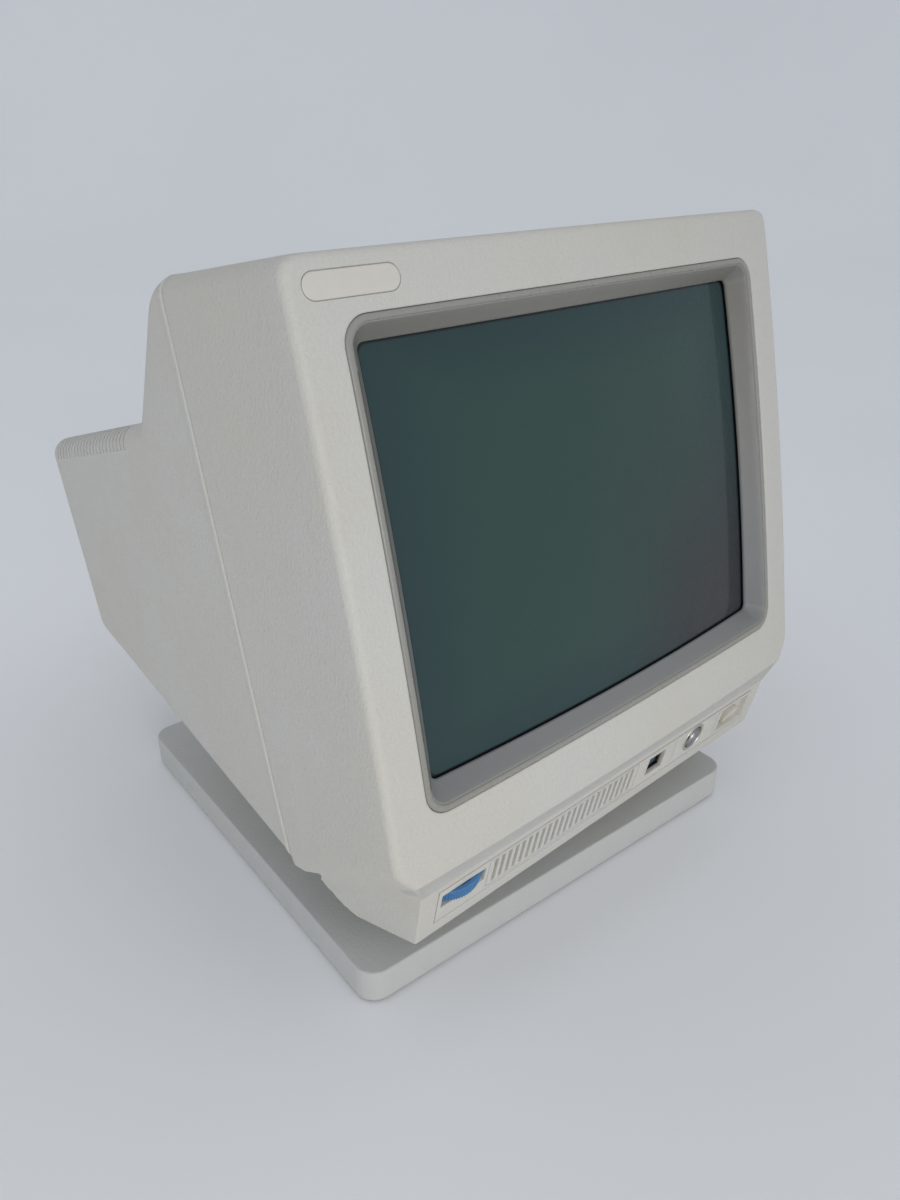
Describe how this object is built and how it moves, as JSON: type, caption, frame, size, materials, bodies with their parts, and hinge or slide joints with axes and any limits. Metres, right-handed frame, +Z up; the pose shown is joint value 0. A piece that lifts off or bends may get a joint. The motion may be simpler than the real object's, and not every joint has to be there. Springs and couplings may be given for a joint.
{
  "type": "CRT display terminal",
  "caption": "Desk-top CRT display terminal: bulged front bezel with screen, control strip, tapered rear cover, on a low plate that lets it tilt and swivel.",
  "frame": {"origin": "centre of the base plate's underside, on the floor, which is also on the swivel axis", "axes": "+Z up, -Y towards the front edge of the base plate (the screen looks this way), +X to the viewer's right when facing the screen; the monitor is stored turned 3.7 degrees about Z and leaned back 13.8 degrees"},
  "size_m": [0.3395, 0.3561, 0.3593],
  "materials": {
    "case": "fine textured pearl-white ABS",
    "surround": "satin grey-beige ABS",
    "panel": "fine textured pearl-white ABS",
    "white": "satin off-white plastic",
    "blue": "moulded blue plastic",
    "dark": "moulded dark plastic",
    "glass": "dark green-grey picture tube glass, coated inside",
    "steel": "bright steel",
    "zinc": "zinc-plated steel",
    "copper": "varnished copper windings",
    "board": "green glass-epoxy board",
    "rubber": "black rubber",
    "red": "red high-voltage silicone insulation",
    "ferrite": "varnished iron core and windings",
    "nylon": "natural nylon"
  },
  "bodies": {
    "base": {"base_plate": "case", "base_pan": "zinc", "foot_front_left": "rubber", "foot_front_right": "rubber", "foot_rear_left": "rubber", "foot_rear_right": "rubber", "bearing_ring": "nylon"},
    "swivel": {"turntable": "case", "friction_pad_left": "rubber", "friction_pad_right": "rubber", "swivel_washer": "zinc", "swivel_bolt": "steel"},
    "monitor": {"front_bezel": "case", "rear_cover": "case", "tilt_runner": "case", "screen_surround": "surround", "control_panel": "panel", "badge_plate": "white", "tube_base": "dark", "power_inlet": "dark", "keyboard_port": "dark", "line_port": "dark", "flyback_transformer": "dark", "main_capacitor": "dark", "speaker": "dark", "power_switch": "dark", "crt_bulb": "glass", "yoke_clamp": "steel", "electron_gun": "steel", "case_screw_1": "steel", "case_screw_2": "steel", "case_screw_3": "steel", "case_screw_4": "steel", "heat_sink": "steel", "rim_band": "zinc", "tube_screw_1": "zinc", "tube_screw_2": "zinc", "tube_screw_3": "zinc", "tube_screw_4": "zinc", "chassis_tray": "zinc", "logic_bracket": "zinc", "brightness_pot": "zinc", "contrast_pot": "zinc", "lock_barrel": "zinc", "deflection_yoke": "copper", "neck_board": "board", "main_board": "board", "logic_board": "board", "anode_cap": "rubber", "eht_lead": "red", "power_transformer": "ferrite", "centring_rings": "nylon", "tube_socket": "nylon"},
    "brightness_dial": {"brightness_wheel": "blue"},
    "contrast_dial": {"contrast_wheel": "dark"},
    "key_plug": {"lock_plug": "steel"},
    "power_key": {"power_rocker": "white"}
  },
  "joints": [
    {"name": "swivel_turn", "type": "hinge", "parent": "base", "child": "swivel", "pos_m": [0, 0, 0.026], "axis": [0, 0, 1], "range_deg": [-48.7, 41.3]},
    {"name": "tilt_rock", "type": "hinge", "parent": "swivel", "child": "monitor", "pos_m": [0.00194, -0.02994, 0.13], "axis": [0.9979, 0.0645, 0], "range_deg": [-6, 13.8]},
    {"name": "brightness_spin", "type": "hinge", "parent": "monitor", "child": "brightness_dial", "pos_m": [-0.10574, -0.14997, 0.07636], "axis": [0.0122, -0.1887, 0.982], "range_deg": [-140, 140]},
    {"name": "contrast_spin", "type": "hinge", "parent": "monitor", "child": "contrast_dial", "pos_m": [0.04605, -0.14029, 0.0744], "axis": [0.9979, 0.0645, 0], "range_deg": [-140, 140]},
    {"name": "key_lock_turn", "type": "hinge", "parent": "monitor", "child": "key_plug", "pos_m": [0.08336, -0.14234, 0.07374], "axis": [0.0634, -0.9799, -0.1891], "range_deg": [-90, 0]},
    {"name": "power_press", "type": "hinge", "parent": "monitor", "child": "power_key", "pos_m": [0.12361, -0.14487, 0.07123], "axis": [0.9979, 0.0645, 0], "range_deg": [-12, 0]}
  ]
}
